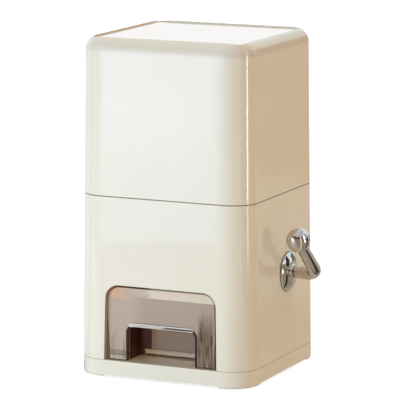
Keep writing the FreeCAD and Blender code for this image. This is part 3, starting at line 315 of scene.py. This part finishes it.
wear(cream, "upper_bin")

# ---- crank ----
# The crank is polished and chromed: a domed rose on the wall, a round arm cast in one with its hub, and a
# ball screwed on its end. A nut inside the wall clamps the rose, and a grub screw grips the shaft. A thin
# black rubber ring under the rose is painted shade, put for the dark shade line round the rose's foot.


def chrome(name):
    """Mirror chrome: a warm grey, with a whisper of polishing haze."""
    paint = Finish(name)
    painted_light_sheet = paint.noise(paint.place(), 120.0, 4.0, Roughness=0.65)
    return paint.close(paint.node("BsdfPrincipled", {}, {
        "Base Color": paint.blend(painted_light_sheet, tone("d6d2cb"), tone("c4bfb7")),
        "Metallic": 1.0,
        "Roughness": 0.03 + 0.05 * painted_light_sheet,
        "Normal": paint.relief(painted_light_sheet, 0.03, 0.0001),
    }))


mirror = chrome("chrome")
wear(mirror, "crank_handle", "crank_knob")
wear(zinc, "rose_nut", "grub_screw", "knob_stud")

rose_height = 0.0094
wall_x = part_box("crank_rose")[1][0] - rose_height


def eased(corners, cuts, steps):
    """Closed outline with rounded corners: each is the parabola between two points, its cut away along each
    side."""
    here = np.array(corners, float)
    back = np.roll(here, 1, 0) - here
    ahead = np.roll(here, -1, 0) - here
    cut = np.array(cuts, float)[:, None]
    start = here + back / np.linalg.norm(back, axis=1, keepdims=True) * cut
    end = here + ahead / np.linalg.norm(ahead, axis=1, keepdims=True) * cut
    t = np.linspace(0, 1, steps)[None, :, None]
    arcs = (1 - t) ** 2 * start[:, None] + 2 * t * (1 - t) * here[:, None] + t ** 2 * end[:, None]
    return arcs.reshape(-1, here.shape[1])


def skin(name, points, wrap_rows, wrap_columns):
    """Smooth surface through a grid of points, one quad a cell; a wrapped way joins its last line to its
    first, and a line whose points fall together closes to a pole."""
    rows, columns = points.shape[:2]
    i = np.arange(rows if wrap_rows else rows - 1)[:, None]
    j = np.arange(columns if wrap_columns else columns - 1)[None, :]
    i_next, j_next = (i + 1) % rows, (j + 1) % columns
    quads = np.stack([i * columns + j, i * columns + j_next,
                      i_next * columns + j_next, i_next * columns + j], -1)
    mesh = bpy.data.meshes.new(name)
    mesh.from_pydata(points.reshape(-1, 3).tolist(), [], quads.reshape(-1, 4).tolist())
    welded = bmesh.new()
    welded.from_mesh(mesh)
    bmesh.ops.remove_doubles(welded, verts=welded.verts, dist=1e-7)
    welded.to_mesh(mesh)
    welded.free()
    mesh.polygons.foreach_set("use_smooth", np.ones(len(mesh.polygons), bool))
    made = bpy.data.objects.new(name, mesh)
    bpy.context.scene.collection.objects.link(made)
    return made


def turned(name, corners, cuts, arc_steps, steps):
    """A rounded outline in millimetres, (along, radius) from the wall, carried round the shaft: at angle a it
    is (along, radius sin a, radius cos a)."""
    front_edge_shade = eased(corners, cuts, arc_steps) / 1000 + np.array([wall_x, 0.0])
    angle = np.linspace(0, 2 * np.pi, steps, endpoint=False)[:, None]
    along, radius = front_edge_shade[None, :, 0], front_edge_shade[None, :, 1]
    grid = np.stack([along + 0 * angle,
                     shaft_y + radius * np.sin(angle),
                     shaft_z + radius * np.cos(angle)], -1)
    return skin(name, grid, True, True)


# Painted shade: a thin black ring under the rose, put for the dark shade line round its foot.
shade_ring_corners = [(0.0, 9.3), (0.0, 24.0), (0.9, 24.0), (0.9, 9.3)]
shade_ring_cuts = [0.2, 0.2, 0.3, 0.2]
shade_ring = turned("shade_ring_piece", shade_ring_corners, shade_ring_cuts, 6, 96)
shade_ring.data.materials.append(black_rubber)
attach(shade_ring, "body")

rose_corners = [(0.8, 9.0), (0.8, 23.7), (2.6, 23.7), (6.9, 17.5), (7.6, 9.6), (9.4, 9.0), (9.4, 6.55),
                (-12.9, 6.55), (-12.9, 9.0)]
rose_cuts = [0.2, 0.4, 1.2, 6.2, 1.3, 0.4, 0.3, 0.2, 0.5]
rose = turned("domed_rose", rose_corners, rose_cuts, 12, 112)
rose.data.materials.append(mirror)
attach(rose, "body")
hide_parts("crank_rose")

# ---- drawer ----
# The drawer is one thick moulding of smoky clear plastic: a front with a finger arch and a pocket behind it,
# and a tray on two skids. It slides on the deck between the bay's walls. A polished bead edges the arch.

front_plate = (-0.0996, -0.0988)
front_half, front_narrowing, front_top, front_corner = 0.0715, 0.0209, 0.1099, 0.0155
arch_half, arch_top, arch_corner = 0.0438, 0.0630, 0.0070
pocket_half, pocket_top, pocket_front, pocket_back = 0.0462, 0.0655, -0.0975, -0.0600
rim_step = (0.0981, 0.0989)
foot_line = (0.0226, 0.0232)


def beyond(across, up, half, top, corner):
    """Distance outside an upright front with two round top corners: the longer way past its side or its top,
    or the way from the corner's centre less the corner's radius."""
    sideways = across - half + corner
    upwards = up - top + corner
    flat = sideways.maths("MINIMUM", sideways.maths("MAXIMUM", sideways, upwards), 0.0)
    right, above = sideways.maths("MAXIMUM", sideways, 0.0), upwards.maths("MAXIMUM", upwards, 0.0)
    return sideways.maths("POWER", right * right + above * above, 0.5) + flat - corner


def smoky_clear(name, tint, deep):
    """Clear tinted plastic with painted light and shade: thick and cut edges are painted near black as shade,
    the pocket's corners a dark red brown of painted shade, the legs of the front streaked with painted
    refraction, and the band above the tray's rim paler and partly hazy with painted light."""
    paint = Finish(name)
    place = paint.place()
    x, y, z = (paint.along(place, axis) for axis in "XYZ")
    wide = x.maths("ABSOLUTE", x, 0.0)
    front = fall(y, *front_plate)
    right_half = rise(x, 0.0, 0.01)

    stretch = paint.node("Mapping", {}, {"Vector": place, "Scale": (1.0, 1.0, 2.5)})
    flow = paint.noise(stretch, 22.0, 2.0)
    drawn = paint.node("Mapping", {}, {"Vector": place, "Scale": (260.0, 30.0, 22.0)})
    refraction_streaks = rise(paint.noise(drawn, 1.0, 3.0, Distortion=1.2), 0.40, 0.62)
    scuffs = paint.noise(place, 240.0, 4.0)
    worn = paint.node("MapRange", {}, {"Value": scuffs, "From Min": 0.56, "From Max": 0.75, "To Max": 0.05})

    above_rim = front * rise(z, *rim_step)
    painted_warm_corner = front * rise(z - 0.12 * x, 0.1010, 0.1030) * fall(x, -0.058, -0.034)
    colour = paint.blend(flow, tint, deep)
    # Painted shade: the front a little darker towards its right.
    colour = paint.blend(rise(x, -0.040, -0.015) * 0.5, colour, tone("d2c3b9"))
    # Painted light: the band above the tray's rim paler, where the lit bay shows through.
    colour = paint.blend(above_rim * rise(x, -0.045, -0.012), colour, tone("f6eee2"))
    # Painted light: a warm glow in the front's upper left corner.
    colour = paint.blend(painted_warm_corner * 0.8, colour, tone("f4cdb0"))

    legs = front * fall(z, 0.058, 0.098)
    right_leg = legs * stripe(x, 0.0490, 0.0650, 0.0030)
    left_leg = front * stripe(x, -0.0660, -0.0470, 0.0030) * fall(z, 0.040, 0.066)
    left_step = left_leg * stripe(z, 0.0285, 0.0335, 0.0015)
    # Painted refraction: dark brown streaks in the right leg, grey ones and an olive band in the left.
    colour = paint.blend(right_leg * (0.45 + 0.52 * refraction_streaks), colour, tone("6e4c0c"))
    colour = paint.blend(left_leg * refraction_streaks * 0.5, colour, tone("978d75"))
    colour = paint.blend(left_step * 0.5, colour, tone("857a56"))

    beside = wide - 0.055 * z - 0.0654
    jamb_shade_strip = front * rise(beside, 0.0, 0.0006) * fall(z, 0.086, 0.094)
    gap_shade_line = front * stripe(beside, -0.0008, 0.0, 0.0003) * (1.0 - right_half)
    # Painted shade: an olive strip along the front's sides where the shaded jamb shows, and a dark line for
    # the gap on the left.
    colour = paint.blend(jamb_shade_strip, colour, tone("8a7c5a"))
    colour = paint.blend(gap_shade_line, colour, tone("3a2c22"))

    # Painted shade: near black lines along the front's edges, the arch and the foot.
    edge = beyond(wide, z, front_half - front_narrowing * z, front_top, front_corner)
    arch = beyond(wide, z, arch_half, arch_top, arch_corner)
    arch_line = 0.0011 + 0.0019 * right_half
    front_edge_shade = rise(edge, -0.0015, -0.0010) + fall(arch - arch_line, -0.0002, 0.0004) + fall(z, *foot_line)
    colour = paint.blend(front * front_edge_shade.maths("MINIMUM", front_edge_shade, 1.0), colour, tone("2a1c14"))

    pocket = stripe(y, pocket_front, pocket_back, 0.0005)
    pocket = pocket * fall(wide, pocket_half, pocket_half + 0.0004) * fall(z, pocket_top, pocket_top + 0.0007)
    lit_sill_band = fall(z, 0.0283, 0.0290)
    corners = rise(wide, 0.0302, 0.0310) * (1.0 - lit_sill_band * fall(wide, 0.0385, 0.0400))
    # Painted shade in the pocket: its walls darker, its corners a dark red brown, and its foot near black.
    colour = paint.blend(pocket * 0.6, colour, tone("8a7260"))
    # Painted light: a pale band low on the pocket's back wall, where the lit deck shows through.
    colour = paint.blend(pocket * lit_sill_band, colour, tone("e9dccd"))
    colour = paint.blend(pocket * corners, colour, tone("4c0e04"))
    colour = paint.blend(pocket * fall(z, 0.0226, 0.0234), colour, tone("2a160e"))

    body = paint.node("BsdfPrincipled", {}, {
        "Base Color": colour,
        "Roughness": 0.012 + worn + 0.5 * pocket * corners,
        "IOR": 1.49,
        "Transmission Weight": 0.63,
        "Normal": paint.relief(flow + 0.9 * legs * refraction_streaks, 0.25, 0.0005),
    })
    # Painted light: a pale diffuse sheet mixed into the right of that band.
    painted_light_sheet = paint.node("BsdfDiffuse", {}, {"Color": tone("ece4d4")})
    with_painted_light = paint.node("MixShader", {}, {0: above_rim * rise(x, -0.020, -0.008) * 0.42, 1: body, 2: painted_light_sheet})
    passing = paint.node("BsdfTransparent", {}, {"Color": (0.98, 0.90, 0.81, 1.0)})
    return paint.close(paint.node("MixShader", {}, {0: paint.ray("Shadow") + paint.ray("Diffuse"),
                                                    1: with_painted_light, 2: passing}))


wear(smoky_clear("smoky_clear", tone("ebe2d8"), tone("dfd5c9")), "drawer_tray")


def polished_highlight_bead(name):
    """The bead's polished surface: a bright, near white painted highlight, a little cool, with a faint run of
    flow
    lines along it. Painted shade: a dark line at its joint with the front, above, and a fainter one in its
    groove."""
    groove_low, groove_high, joint_shade_band = 0.0651, 0.0657, (0.0670, 0.0675)
    paint = Finish(name)
    place = paint.place()
    z = paint.along(place, "Z")
    stretch = paint.node("Mapping", {}, {"Vector": place, "Scale": (0.2, 1.0, 1.0)})
    flow = paint.noise(stretch, 300.0, 2.0)
    # Painted highlight: the bead is near white all over.
    colour = paint.blend(flow, tone("f4f7f9"), tone("e2e6e8"))
    # Painted shade: a dark line along the joint with the front.
    colour = paint.blend(rise(z, *joint_shade_band), colour, tone("4a4f55"))
    return paint.close(paint.node("BsdfPrincipled", {}, {
        # Painted shade: a fainter blue grey line in the groove.
        "Base Color": paint.blend(stripe(z, groove_low, groove_high, 0.0003) * 0.8, colour, tone("8b98a1")),
        "Metallic": 0.15,
        "Roughness": 0.05 + 0.06 * flow,
        "Normal": paint.relief(flow, 0.05, 0.0001),
    }))


deck_height, front_foot, front_lean = 0.021, -0.10453, math.radians(0.76)
bead_half, bead_height, bead_radius = 0.0421, 0.06534, 0.00268
groove_depth, groove_spread, end_drop = 0.22, 0.38, 0.0012


def bead(name, half, height, radius, steps, rings):
    """A bar along X on the leaning front, from -half to half. Its ring is a circle with a shallow groove
    along the front, a bell curve of the angle, and its ends close as a quarter circle does."""
    x = half * np.sin(np.linspace(-1, 1, rings) * np.pi / 2)
    inset = np.clip(half - np.abs(x), 0, radius)
    swell = np.sqrt(inset * (2 * radius - inset))
    angle = np.linspace(0, 2 * np.pi, steps, endpoint=False)
    ring = 1 - groove_depth * np.exp(-(np.minimum(angle, 2 * np.pi - angle) / groove_spread) ** 2)
    drop = end_drop * (np.abs(x) / half) ** 14
    y = front_foot + (height - deck_height) * math.tan(front_lean)
    grid = np.stack([x[:, None] + 0 * angle,
                     y - swell[:, None] * ring * np.cos(angle),
                     (height - drop)[:, None] - swell[:, None] * ring * np.sin(angle)], -1)
    return skin(name, grid, False, True)


grip = bead("grip_bead", bead_half, bead_height, bead_radius, 40, 120)
grip.data.materials.append(polished_highlight_bead("polished_highlight_bead"))
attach(grip, "drawer")

# ---- lid and drying-agent cup ----
# The lid is a flush white panel with a skirt that carries the silicone gasket. A cup for a pack of drying
# agent is pushed on under it and closed by a vented cap with a bayonet.

wear(glossy_shell("lid_white", tone("fbfbf9"), tone("f7f7f4")), "lid_panel")
wear(satin, "desiccant_cup", "desiccant_cap")

# ---- studio ----
# White paper floor and background. Four lamps: a large soft key at the front left, a low one before the
# drawer, a small warm one on the crank side, and a tall narrow strip there for the gloss alone. Plain light
# comes from all round; in its place the gloss shows a kitchen with dark posts and bright gaps.


def lamp(name, place, target, width, height, power, colour, **seen_by):
    """Rectangular soft lamp at place, facing target; seen_by says which rays see it."""
    data = bpy.data.lights.new(name, "AREA")
    data.shape = "RECTANGLE"
    data.size = width
    data.size_y = height
    data.energy = power
    data.color = colour
    made = bpy.data.objects.new(name, data)
    bpy.context.scene.collection.objects.link(made)
    aim = np.array(target, float) - np.array(place, float)
    aim /= np.linalg.norm(aim)
    side = np.cross(aim, (0.0, 0.0, 1.0))
    side /= np.linalg.norm(side)
    up = np.cross(side, aim)
    made.matrix_world = Matrix([[side[i], up[i], -aim[i], place[i]] for i in range(3)] + [[0, 0, 0, 1]])
    made.visible_camera = False
    for kind, seen in seen_by.items():
        setattr(made, "visible_" + kind, seen)


lamp("key_lamp", place=(-1.85, -2.64, 0.60), target=(0.0, 0.0, 0.2), width=1.8, height=1.0,
     power=52.6, colour=(0.66, 0.81, 0.96), glossy=False)
lamp("foot_lamp", place=(-0.2, -0.62, 0.02), target=(0.0, -0.1, 0.10), width=1.0, height=0.04,
     power=0.86, colour=(0.97, 0.98, 1.0), glossy=False)
lamp("side_lamp", place=(2.6, 0.30, 0.26), target=(0.11, 0.0, 0.2), width=0.30, height=0.30,
     power=5.75, colour=(1.0, 0.86, 0.80), glossy=False)
lamp("strip_lamp", place=(1.497, -0.118, 0.45), target=(0.1, -0.1, 0.25), width=0.19, height=1.2,
     power=4.2, colour=(1.0, 0.95, 0.88), diffuse=False, transmission=False)

white, black, grey = (1.0, 1.0, 1.0, 1.0), (0.0, 0.0, 0.0, 1.0), (0.5, 0.5, 0.5, 1.0)
card_light = (3.20, 3.50, 4.90, 1.0)
narrow_gap = (-0.80, -0.68)


def posts(bearing):
    """Two dark uprights of the kitchen, by their bearing from the crank side in radians."""
    return stripe(bearing, 0.45, 0.70, 0.04) + stripe(bearing, -2.95, -2.75, 0.04)


room = bpy.data.worlds.new("room")
room.use_nodes = True
bpy.context.scene.world = room
air = Finish("room", room.node_tree)
way = air.node("TexCoord", {}, {}, "Generated")
east, north, height = (air.along(way, axis) for axis in "XYZ")
bearing = north.maths("ARCTAN2", north, east)

cool_side, warm_side = (0.185, 0.150, 0.135, 1.0), (0.78, 0.37, 0.04, 1.0)
sides = air.blend(rise(0.71 * east + 0.71 * north, 0.0, 0.6), cool_side, warm_side)
sides = air.blend(rise(north, 0.60, 0.95), sides, (0.46, 0.41, 0.34, 1.0))
ambient = air.blend(rise(height, 0.40, 0.85), sides, (1.14, 1.06, 0.97, 1.0))

kitchen = air.blend(rise(height, 0.15, 0.45), (0.42, 0.31, 0.17, 1.0), (0.16, 0.12, 0.09, 1.0))
doorway = rise(east, 0.0, 0.22) * fall(height, 0.22, 0.34)
hall = air.blend(doorway, (1.13, 1.19, 1.26, 1.0), (0.20, 0.19, 0.15, 1.0))
mirrored = air.blend(rise(north, -0.4, 0.3), kitchen, hall)
to_key = air.node("VectorMath", {"operation": "DOT_PRODUCT"}, {0: way, 1: (-0.63, -0.775, 0.05)}, "Value")
mirrored = air.blend(rise(to_key, 0.90, 0.93), mirrored, (1.5, 1.5, 1.5, 1.0))
mirrored = air.blend(posts(bearing), mirrored, (0.04, 0.04, 0.03, 1.0))
gaps = stripe(bearing, 0.85, 1.00, 0.04) + stripe(bearing, *narrow_gap, 0.03)
mirrored = air.blend(gaps, mirrored, (1.5, 1.45, 1.35, 1.0))
panes = rise(air.noise(way, 4.0, 2.0), 0.42, 0.58)
soft_top = air.blend(panes, (0.45, 0.48, 0.55, 1.0), (1.15, 1.18, 1.22, 1.0))
mirrored = air.blend(rise(height, 0.62, 0.72), mirrored, soft_top)
window_sky = rise(north, 0.60, 0.80) * stripe(height, 0.26, 0.46, 0.06)
mirrored = air.blend(window_sky, mirrored, (0.75, 1.10, 1.30, 1.0))
far_card = stripe(bearing, -2.032, -1.992, 0.002) * fall(height, 0.05, 0.07)
mirrored = air.blend(far_card, mirrored, card_light)

backdrop = air.node("MapRange", {}, {"Value": air.ray("Camera") + air.ray("Transmission")})
lit_room = air.blend(air.ray("Glossy"), ambient, mirrored)
sky = air.node("Background", {}, {"Color": air.blend(backdrop, lit_room, white), "Strength": 1.0})
air.close(sky, "World")

reach = 30.0
corners = [(-reach, -reach, 0.0), (reach, -reach, 0.0), (reach, reach, 0.0), (-reach, reach, 0.0)]
sheet = bpy.data.meshes.new("floor")
sheet.from_pydata(corners, [], [(0, 1, 2, 3)])
floor = bpy.data.objects.new("floor", sheet)
bpy.context.scene.collection.objects.link(floor)

paper = Finish("floor_paper")
ground = paper.place()
across, down = (paper.along(ground, axis) for axis in "XY")
seen, gloss, through = (paper.ray(kind) for kind in ("Camera", "Glossy", "Transmission"))
fibre = paper.noise(ground, 300.0, 2.0)
matt = paper.node("BsdfDiffuse", {}, {"Color": paper.blend(fibre, tone("cdc9c2"), tone("c9c5be"))})
pale = paper.node("BsdfDiffuse", {}, {"Color": paper.blend(gloss, grey, black)})

# What the gloss sees of the floor is light painted on it: warmer on the crank side, greener behind it, and
# the feet of the kitchen's posts, of its narrow gap and of the strip lamp, and a glowing patch that stands
# for a pale card lying before the front.
shown = paper.blend(rise(across, -0.1, 0.3) * gloss, (0.80, 0.80, 0.80, 1.0), (0.40, 0.32, 0.26, 1.0))
greener = stripe(across, 0.28, 1.2, 0.25) * stripe(down, 0.50, 1.25, 0.22)
shown = paper.blend(greener * gloss, shown, (0.58, 0.64, 0.55, 1.0))
bearing = down.maths("ARCTAN2", down, across - 0.13)
shown = paper.blend(posts(bearing) * gloss, shown, (0.05, 0.045, 0.04, 1.0))
shown = paper.blend(stripe(bearing, *narrow_gap, 0.03) * gloss, shown, (1.25, 1.20, 1.10, 1.0))
strip_way = down.maths("ARCTAN2", down + 0.1, across - 0.105)
strip_foot = stripe(strip_way, -0.081, 0.055, 0.006) * rise(across, 0.70, 1.25)
shown = paper.blend(strip_foot * gloss, shown, (5.2, 4.9, 4.5, 1.0))
card_x, card_y, card_cos, card_sin = -0.435, -1.023, 0.4276, 0.9040
along = -card_cos * (across - card_x) - card_sin * (down - card_y)
off = card_sin * (across - card_x) - card_cos * (down - card_y)
card_half = 0.0888 + 0.0203 * along
glowing_card_patch = fall(off.maths("ABSOLUTE", off, 0.0) - card_half, -0.006, 0.006) * rise(along, -0.05, 0.06)
sheen = paper.blend(rise(along, 0.0, 1.8), (1.75, 2.00, 2.90, 1.0), card_light)
shown = paper.blend(glowing_card_patch * gloss, shown, sheen)

lit = paper.node("AddShader", {}, {0: pale, 1: paper.node("Emission", {}, {"Color": shown})})
plain_view = paper.node("MapRange", {}, {"Value": seen + gloss + through})
sheet.materials.append(paper.close(paper.node("MixShader", {}, {0: plain_view, 1: matt, 2: lit})))

# ---- camera ----
# A long lens far back on the crank side, a little above the lid, in metres and degrees. Its focal length is
# given in pixels of a picture 400 pixels wide.

camera_far, camera_up, camera_turn = 3.435, 0.800, 24.61
look_down, look_aside = 9.88 + 0.037, 0.031
focal_pixels, picture_pixels, sensor_width = 2935.9, 400, 36.0
turn = math.radians(camera_turn)
camera = bpy.data.objects.new("camera", bpy.data.cameras.new("camera"))
bpy.context.scene.collection.objects.link(camera)
camera.location = (camera_far * math.sin(turn), -camera_far * math.cos(turn), camera_up)
camera.rotation_euler = (math.radians(90 - look_down), 0.0, turn - math.radians(look_aside))
camera.data.sensor_width = sensor_width
camera.data.lens = focal_pixels / picture_pixels * sensor_width
camera.data.clip_end = 60.0
bpy.context.scene.camera = camera
bpy.context.scene.view_settings.view_transform = "Standard"
